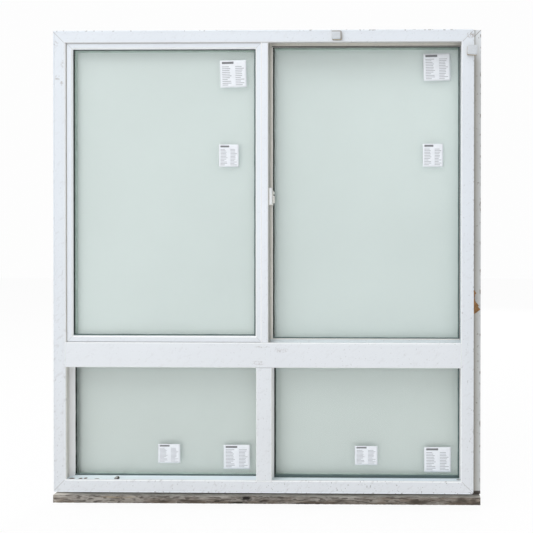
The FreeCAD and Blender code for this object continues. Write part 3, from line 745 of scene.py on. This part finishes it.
def waver(along, seed, size):
    """A smooth wander: three sines of unlike wavelength, added."""
    return size * (0.5 * np.sin(along * 37 + seed) + 0.3 * np.sin(along * 91 + 2.3 * seed)
                   + 0.2 * np.sin(along * 203 + 4.1 * seed))


def around(low, high, stations):
    """Points along a rectangle in XZ, side by side from the lower left corner, and the side that each is on."""
    points = np.array([(low[0], low[2]), (high[0], low[2]), (high[0], high[2]), (low[0], high[2])])
    side = np.repeat(np.arange(4), stations)
    share = np.tile(np.arange(stations) / stations, 4)
    return points[side] + (points[(side + 1) % 4] - points[side]) * share[:, None], side, share == 0


def inward(side, corner, reaches):
    """Each point's way in from the rectangle: its side's normal times its reach, both sides' added at a corner."""
    ways = np.array([(0, 1), (-1, 0), (0, -1), (1, 0)]) * np.array(reaches)[:, None]
    return ways[side] + np.where(corner, 1.0, 0.0)[:, None] * ways[side - 1]


def gasket_ring(low, high, face, reaches, wraps, height, stations=48):
    """A rubber lip carried round a pane, over the glass stop and down on the glass.

    Point = path(s) + a(t) * way_in(s) - b(t) * way_out(s) - c(t) along Y. The section (a, b, c) starts on the stop,
    goes over its edge in a quarter round and ends on the glass.
    """
    path, side, corner = around(low, high, stations)
    glass, stop = inward(side, corner, reaches), inward(side, corner, wraps)
    turn = np.linspace(0, 0.5 * np.pi, 6)
    over = np.concatenate(([0, 0], np.sin(turn), [0]))
    back = np.concatenate(([1, 1], np.zeros(len(turn) + 1)))
    rise = np.concatenate(([0, STOP_THICKNESS + height], height + STOP_THICKNESS * np.cos(turn), [0]))
    # the lip's edge wanders a little, as pressed rubber does
    over = over[None, :] * (1 + waver(path.sum(axis=1), face * 100, 0.07))[:, None]
    flat = path[:, None, :] + over[..., None] * glass[:, None, :] - back[None, :, None] * stop[:, None, :]
    return grid(flat[..., 0], face - rise, flat[..., 1], True, True)


def cover_ring(low, high, front, back, slope, sinks, crests, stations=60):
    """A snap-in glazing bead that closes the channel round a fixed light, mitred at its corners.

    Point = path(s) - k(t) * sink(s) + (1 - k(t)) * crest(s), at depth y(t). The section is a bar: a flat sunk behind
    the lip, k = 1, then a slope that rises to a rounded crest at the glass stop, k = 0.
    """
    path, side, corner = around(low, high, stations)
    sunk, proud = inward(side, corner, sinks)[:, None, :], inward(side, corner, crests)[:, None, :]
    share = np.linspace(0, 1, 8)
    rise = 1 - 0.38 * (0.5 - 0.5 * np.cos(np.pi * share)) - 0.62 * share
    k = np.concatenate(([1.15, 1], rise, [1.15]))[None, :, None]
    y = np.concatenate(([front, front], back - slope * (1 - share), [back]))
    flat = path[:, None, :] - k * sunk + (1 - k) * proud
    return grid(flat[..., 0], y, flat[..., 1], True, True)


def seal_strip(low, high, ends, stations=40):
    """A thin ridge carried up Z: a half round that laps the gap, closed flat behind, drawn to a point at its ends."""
    turn = np.linspace(0, np.pi, 9)
    middle, half = (low[0] + high[0]) / 2, 0.85 * (high[0] - low[0])
    x = np.append(-np.cos(turn), (1, -1)) * half
    y = np.append(low[1] + half * (0.6 - np.sin(turn)), (high[1], high[1]))
    run = np.concatenate(([ends[0]], np.linspace(ends[0], ends[1], stations), [ends[1]]))
    scale = np.concatenate(([0.0], np.ones(stations), [0.0]))[:, None]
    return grid(middle + scale * x, high[1] + scale * (y - high[1]), run[:, None], wrap_columns=True)


def sticker_sheet(centre, width, height, tilt, face, lift, steps=14):
    """A paper square on the glass.

    Point = centre + tilt * (u * width, v * height), lifted off the glass by lift * (4 u v)^4, so that only the
    corners curl.
    """
    u, v = np.meshgrid(np.linspace(-0.5, 0.5, steps), np.linspace(-0.5, 0.5, steps))
    cosine, sine = math.cos(math.radians(tilt)), math.sin(math.radians(tilt))
    x = centre[0] + cosine * u * width - sine * v * height
    z = centre[1] + sine * u * width + cosine * v * height
    y = face - STICKER_GAP - lift * (4 * u * v) ** 4
    return *grid(x, y, z), np.stack((u + 0.5, v + 0.5), axis=-1)


def full_turn(spokes):
    """Angles evenly round a circle, as a row."""
    return np.linspace(0, 2 * np.pi, spokes, endpoint=False)[None, :]


def rounded(wave, power):
    """A sine or cosine drawn out towards a square wave."""
    return np.sign(wave) * np.abs(wave) ** power


def foam_block(low, high, tilt, rings=24, spokes=72):
    """A soft block: a superellipsoid, each axis cos or sin to a small power, narrowed a little in front and behind."""
    power = 0.22
    rise = np.linspace(-0.5 * np.pi, 0.5 * np.pi, rings)[:, None]
    turn = full_turn(spokes)
    middle, half = (high + low) / 2, (high - low) / 2
    across = half[0] * rounded(np.cos(rise), power) * rounded(np.cos(turn), power)
    up = half[2] * rounded(np.cos(rise), power) * rounded(np.sin(turn), power)
    deep = -half[1] * rounded(np.sin(rise), power)
    across = across * (1 - 0.03 * (deep / half[1]) ** 2)
    cosine, sine = math.cos(tilt), math.sin(tilt)
    return grid(middle[0] + cosine * across + sine * up, middle[1] + deep,
                middle[2] - sine * across + cosine * up, wrap_columns=True)


def sawn_board(low, high, size, stations=360, spokes=44):
    """A sawn board: a rounded rectangle carried along X.

    The section is a superellipse in angle t, its edges wander along X, and it draws in to a point over the last
    stations at each end, which closes the ends.
    """
    middle, half = (high + low) / 2, (high - low) / 2
    run = np.linspace(low[0], high[0], stations)
    run = np.concatenate((np.full(4, low[0]), run, np.full(4, high[0])))[:, None]
    scale = np.concatenate(([0.0, 0.5, 0.9, 0.985], np.ones(stations), [0.985, 0.9, 0.5, 0.0]))[:, None]
    turn = full_turn(spokes)
    power = 0.09
    deep, up = rounded(np.cos(turn), power), rounded(np.sin(turn), power)
    wear = 1 - np.abs(waver(run + 0.3 * np.sin(turn), 3.0 + 2 * np.sign(up), 1.0)) * size / half[2]
    y = middle[1] + scale * half[1] * deep * (1 - 0.4 * (1 - wear))
    z = middle[2] + scale * half[2] * np.where(up > 0, up, up * wear)
    return grid(run, y, z, wrap_columns=True)


def screw_head(centre, radius, height, spokes=40):
    """A domed head with a cross recess that stands on a ledge.

    Point = centre + r (cos t, sin t, 0) + h(r, t) along Z: a steep dome h, sunk where a four-pointed star covers it,
    and turned back in under its rim.
    """
    share = np.concatenate((np.linspace(0, 1, 18), [1, 0]))[:, None]
    turn = full_turn(spokes)
    star = share < 0.16 + 0.3 * np.abs(np.cos(2 * turn)) ** 8
    rise = height * np.sqrt(np.clip(1 - share ** 4, 0, 1)) - np.where(star, 0.12 * height, 0)
    rise[-2:] = -SCREW_SUNK
    x, y = centre[0] + radius * share * np.cos(turn), centre[1] + radius * share * np.sin(turn)
    return grid(x, y, centre[2] + rise, wrap_columns=True)


def torn_strip(low, high, face, rows=60, columns=10):
    """Torn paper, crinkled off the flange: point = (left + u * width(v), v * height).

    The width follows the tear, a chain of straight runs with a small wander on top.
    """
    v = np.linspace(0, 1, rows)[:, None]
    u = np.linspace(0, 1, columns)[None, :]
    tear = np.interp(v, *zip(*TEAR)) + waver(v * 0.9, 1.7, 0.03)
    x = low[0] + (high[0] - low[0]) * np.clip(tear, 0.05, 1) * u
    z = low[1] + (high[1] - low[1]) * v
    y = face - PAPER_GAP - PAPER_CRINKLE * np.abs(np.sin(41 * v + 5 * u) * np.sin(9 * u + 3))
    return grid(x, y, z)


def settings(context):
    """The colours and sizes of the scene."""
    return context.scene.window_colours, context.scene.window_sizes


class WINDOW_OT_frame_vinyl(bpy.types.Operator):
    """Dress the frame, the dividing bars and the outdoor beads in white vinyl"""

    bl_idname = "window_finish.frame_vinyl"
    bl_label = "Frame Vinyl"

    def execute(self, context):
        hue = context.scene.window_colours
        left, _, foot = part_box("frame_left")[0]
        right, _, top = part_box("frame_right")[1]
        edges = (left, right, foot, top)
        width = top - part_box("frame_head")[0][2]
        # the reveal column is painted light or shade on sides and channels, the stop column the glass stop painted
        # lighter
        for name, nodes, tint, reveal, stop, specks in (
                ("white_vinyl", ("frame_left", *BEAD_NODES), hue.vinyl, hue.channel, hue.stop, 0.5),
                ("bright_vinyl", ("frame_right",), hue.vinyl, hue.ledge, hue.stop, 0.3),
                ("cream_vinyl", ("frame_head", "fixed_meeting_stile"), hue.vinyl, hue.channel, hue.cream, 0.4),
                ("mullion_vinyl", ("lower_mullion",), hue.transom, hue.channel, hue.stop, 0.25),
                ("ledge_vinyl", ("transom",), hue.transom, hue.ledge, hue.stop, 0.2),
                ("dusty_vinyl", ("frame_sill",), hue.sill, hue.ledge, hue.stop, 0.42)):
            dress(nodes, vinyl(name, hue, tint, reveal, stop, specks, edges, width, stains=STAINS))
        return {"FINISHED"}


class WINDOW_OT_sash_vinyl(bpy.types.Operator):
    """Dress the sliding sash, its beads and its rollers"""

    bl_idname = "window_finish.sash_vinyl"
    bl_label = "Sash Vinyl"

    def execute(self, context):
        hue = context.scene.window_colours
        left, _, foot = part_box("sash_bead_left")[0]
        right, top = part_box("sash_bead_right")[1][0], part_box("sash_bead_head")[1][2]
        edges = (left, right, foot, top)
        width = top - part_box("sash_bead_head")[0][2]
        bars = [f"sash_{side}" for side in SIDES] + ["sash_pull_rail"]
        # the sash's sides take a painted shade, and its top a painted shadow of the head
        dress(bars, vinyl("sash_vinyl", hue, hue.sash, hue.side_shade, hue.stop, 0.2, edges, 0.0, rim=False))
        beads = vinyl("bead_vinyl", hue, hue.bead, hue.bead, hue.stop, 0.2, edges, width, rim=False)
        dress([f"sash_bead_{side}" for side in SIDES], beads)
        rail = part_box("sash_pull_rail")
        strip = seal_strip((right, rail[0][1]), (rail[0][0], rail[1][1]), (rail[0][2], rail[1][2]))
        seal = mottled("seal_vinyl", hue.white_and_highlight, hue.stop, 30, 0.4, 0.03)
        new_piece("pull_rail_seal", strip, seal)
        nylon = mottled("roller_nylon", hue.roller, shade(hue.roller, 0.8), 60, 0.5)
        dress(("sash_roller_left", "sash_roller_right"), nylon)
        return {"FINISHED"}


class WINDOW_OT_flange(bpy.types.Operator):
    """Dress the outdoor flange and leave torn packing paper on it"""

    bl_idname = "window_finish.flange"
    bl_label = "Flange"

    def execute(self, context):
        hue, size = settings(context)
        low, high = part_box("flange_right")
        dress([f"flange_{side}" for side in SIDES], flange_vinyl("handled_flange", hue, high))
        paper = mottled("torn_paper", shade(hue.torn_paper, 0.7), shade(hue.torn_paper, 1.35), 90, 0.85)
        ends = [(high[0] - inset, height) for inset, height in TORN_PAPER]
        new_piece("torn_paper", torn_strip(*ends, low[1]), paper, size.sticker_thickness)
        return {"FINISHED"}


class WINDOW_OT_covers(bpy.types.Operator):
    """Close the empty channel round each lower light with a snap-in cover"""

    bl_idname = "window_finish.covers"
    bl_label = "Channel Covers"

    def execute(self, context):
        hue, size = settings(context)
        front, back = SHELF + size.cover_gap, STOP_FRONT - size.cover_play
        slope = back - size.cover_slope
        finish = cover_vinyl("cover_vinyl", hue, slope - size.cover_gap, slope + size.cover_slope / 4)
        for light in COVERS:
            ring = cover_ring(*sight(light), front, back, size.cover_slope, *COVERS[light])
            new_piece(f"channel_cover_{light}", ring, finish)
        return {"FINISHED"}


class WINDOW_OT_glazing(bpy.types.Operator):
    """Dress the panes and the spacers, and lay a rubber gasket round each inner pane"""

    bl_idname = "window_finish.glazing"
    bl_label = "Glazing"

    def execute(self, context):
        hue, size = settings(context)
        dress([f"{light}_inner_pane" for light in LIGHTS], clear_glass("clear_pane", hue.glass))
        dress([f"{light}_outer_pane" for light in LIGHTS[:2]], satin_glass("satin_pane", hue.satin))
        # the lower panes take a darker satin, as painted shade
        dress([f"{light}_outer_pane" for light in LIGHTS[2:]], satin_glass("lower_satin_pane", hue.satin_low))
        dress([f"{light}_spacer" for light in LIGHTS],
              mottled("spacer_bar", hue.spacer, shade(hue.spacer, 0.85), 40, 0.45, metallic=0.2))
        rubber = gasket_rubber("gasket_rubber", hue)
        lips = {"sash": mottled("sash_lip_vinyl", hue.white_and_highlight, hue.bead, 30, 0.4, 0.03),
                "upper_right": mottled("stop_lip_vinyl", hue.cream, shade(hue.cream, 0.94), 30, 0.4, 0.03)}
        for light in LIGHTS:
            low, high = sight(light)
            height = size.gasket_height
            if light in STOP_LIPS:
                ring = gasket_ring(low, high, low[1], *STOP_LIPS[light], height)
                new_piece(f"stop_lip_{light}", ring, lips[light])
                height = size.gasket_behind
            ring = gasket_ring(low, high, low[1], *GASKETS[light], height)
            new_piece(f"gasket_{light}", ring, rubber)
        return {"FINISHED"}


class WINDOW_OT_stickers(bpy.types.Operator):
    """Stick plain ruled stickers on the inner panes"""

    bl_idname = "window_finish.stickers"
    bl_label = "Stickers"

    def execute(self, context):
        hue, size = settings(context)
        for number, (name, (light, x, z, width, height, tilt)) in enumerate(STICKERS.items()):
            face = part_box(f"{light}_inner_pane")[0][1]
            sheet = sticker_sheet((x, z), width, height, tilt, face, size.sticker_lift)
            paper = ruled_paper(f"{name}_paper", hue.paper, hue.ink, STICKER_ROWS[number % len(STICKER_ROWS)])
            piece = new_piece(name, sheet, paper, size.sticker_thickness)
            # a shadow on the satin pane behind the paper would be too strong
            piece.visible_shadow = False
        return {"FINISHED"}


class WINDOW_OT_latch(bpy.types.Operator):
    """Dress the latch"""

    bl_idname = "window_finish.latch"
    bl_label = "Latch"

    def execute(self, context):
        hue = context.scene.window_colours
        gloss = mottled("latch_plastic", hue.white_and_highlight, hue.latch, 90, 0.3)
        dress(("latch_lever",), gloss)
        dull = mottled("latch_case_plastic", hue.cream, shade(hue.cream, 0.85), 120, 0.4)
        dress(("latch_plate", "latch_case"), dull)
        return {"FINISHED"}


class WINDOW_OT_pads(bpy.types.Operator):
    """Put foam pads in place of the plain blocks on the indoor face"""

    bl_idname = "window_finish.pads"
    bl_label = "Pads"

    def execute(self, context):
        hue = context.scene.window_colours
        for name, (tilt, sides, drop, rim) in PADS.items():
            low, high = corners(name)
            middle, half = (low + high) / 2, (high - low) / 2
            half[0], half[2] = sides
            middle[2] -= drop
            low, high = middle - half, middle + half
            foam = two_tone_pad(f"{name}_foam", hue, low, high, rim)
            piece = new_piece(f"{name}_foam", foam_block(low, high, math.radians(tilt)), foam)
            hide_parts(name)
        return {"FINISHED"}


class WINDOW_OT_board(bpy.types.Operator):
    """Put a weathered board in place of the plain bearer"""

    bl_idname = "window_finish.board"
    bl_label = "Board"

    def execute(self, context):
        hue, size = settings(context)
        low, high = corners("timber_bearer")
        timber = weathered_timber("weathered_timber", hue, low, high)
        piece = new_piece("weathered_board", sawn_board(low, high, size.board_waver), timber)
        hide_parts("timber_bearer")
        return {"FINISHED"}


class WINDOW_OT_screw(bpy.types.Operator):
    """Drive a screw into the channel cover over the sill"""

    bl_idname = "window_finish.screw"
    bl_label = "Screw"

    def execute(self, context):
        hue, size = settings(context)
        ledge = float(sight("lower_left")[0][2]) - COVERS["lower_left"][0][0]
        # the spot on the head's front that takes the painted highlight
        worn = (SCREW_PLACE[0], SCREW_PLACE[1] - size.screw_radius / 3, ledge + 0.85 * size.screw_height)
        zinc = lit_soiled_zinc("screw_zinc", hue, worn, size.screw_radius)
        head = screw_head((*SCREW_PLACE, ledge), size.screw_radius, size.screw_height)
        new_piece("sill_screw", head, zinc)
        return {"FINISHED"}


class WINDOW_OT_stage(bpy.types.Operator):
    """Set the floor, the light and the camera"""

    bl_idname = "window_finish.stage"
    bl_label = "Stage"

    def execute(self, context):
        scene, size = context.scene, context.scene.window_sizes
        scene.view_settings.view_transform = "Standard"
        build_floor(size.floor_size, CAD_BOX[0][2])
        build_world(scene)
        for name, (place, side, power) in LAMPS.items():
            build_lamp(name, place, LAMP_TARGET, side, power)
        build_camera(scene)
        return {"FINISHED"}


def build_floor(side, level):
    """A flat pale floor, mostly white to the eye, that still takes the window's shadow."""
    half = side / 2
    points = np.array([(-half, -half, level), (half, -half, level), (half, half, level), (-half, half, level)])
    mesh = bpy.data.meshes.new("floor")
    mesh.from_pydata(points, [], [(0, 1, 2, 3)])
    made = Recipe("pale_floor")
    made.base = (0.95, 0.95, 0.95)
    made.finish(0.9, specular=0.0)
    glow = made.add("ShaderNodeEmission").outputs["Emission"]
    seen = made.times(made.seen_rays(), FLOOR_SEEN)
    made.feed(made.surface, made.blend(seen, made.shader.outputs["BSDF"], glow))
    mesh.materials.append(made.material)
    floor = bpy.data.objects.new("floor", mesh)
    bpy.context.scene.collection.objects.link(floor)


def build_world(scene):
    """Even daylight that shows as white behind the window."""
    world = bpy.data.worlds.new("daylight")
    world.use_nodes = True
    made = Nodes(world.node_tree)
    sky = made.tree.nodes["Background"].inputs
    made.feed(sky["Color"], (1, 1, 1))
    made.feed(sky["Strength"], made.span(made.seen_rays(), 0, 1, SKY_LIGHT, SKY_SEEN))
    scene.world = world


def build_lamp(name, place, target, side, power):
    """A square soft light aimed at a point."""
    light = bpy.data.lights.new(name, "AREA")
    light.shape = "SQUARE"
    light.size = side
    light.energy = power
    lamp = bpy.data.objects.new(name, light)
    bpy.context.scene.collection.objects.link(lamp)
    aim = np.array(target) - np.array(place)
    lamp.location = place
    lamp.visible_glossy = False
    lamp.rotation_euler = (math.acos(-aim[2] / np.linalg.norm(aim)), 0, math.atan2(-aim[0], aim[1]))


def build_camera(scene):
    """The camera at the picture's place; its shift puts the optical centre where the picture has it."""
    lens = bpy.data.cameras.new("camera")
    lens.sensor_width = SENSOR
    lens.lens = FOCAL_PIXELS / PICTURE * SENSOR
    lens.shift_x = (PICTURE / 2 - OPTICAL_CENTRE[0]) / PICTURE
    lens.shift_y = (OPTICAL_CENTRE[1] - PICTURE / 2) / PICTURE
    camera = bpy.data.objects.new("camera", lens)
    camera.location = CAMERA_PLACE
    level = Matrix.Rotation(-CAMERA_YAW, 3, "Z") @ Matrix.Rotation(math.pi / 2 + CAMERA_PITCH, 3, "X")
    camera.rotation_euler = (level @ Matrix.Rotation(CAMERA_ROLL, 3, "Z")).to_euler()
    scene.collection.objects.link(camera)
    scene.camera = camera


class WINDOW_PT_finish(bpy.types.Panel):
    """Sidebar panel that lists the window's pieces"""

    bl_label = "Sliding Window"
    bl_space_type = "VIEW_3D"
    bl_region_type = "UI"
    bl_category = "Window"

    def draw(self, context):
        for piece in PIECES:
            self.layout.operator(piece.bl_idname)


PIECES = (WINDOW_OT_frame_vinyl, WINDOW_OT_sash_vinyl, WINDOW_OT_flange, WINDOW_OT_covers, WINDOW_OT_glazing,
          WINDOW_OT_stickers, WINDOW_OT_latch, WINDOW_OT_pads, WINDOW_OT_board, WINDOW_OT_screw, WINDOW_OT_stage)
CLASSES = (WindowColours, WindowSizes, *PIECES, WINDOW_PT_finish)


def register():
    for item in CLASSES:
        bpy.utils.register_class(item)
    bpy.types.Scene.window_colours = bpy.props.PointerProperty(type=WindowColours)
    bpy.types.Scene.window_sizes = bpy.props.PointerProperty(type=WindowSizes)


def unregister():
    del bpy.types.Scene.window_sizes
    del bpy.types.Scene.window_colours
    for item in reversed(CLASSES):
        bpy.utils.unregister_class(item)


def main():
    """Build every piece in order."""
    register()
    for piece in PIECES:
        group, name = piece.bl_idname.split(".")
        getattr(getattr(bpy.ops, group), name)()


if __name__ == "__main__":
    main()
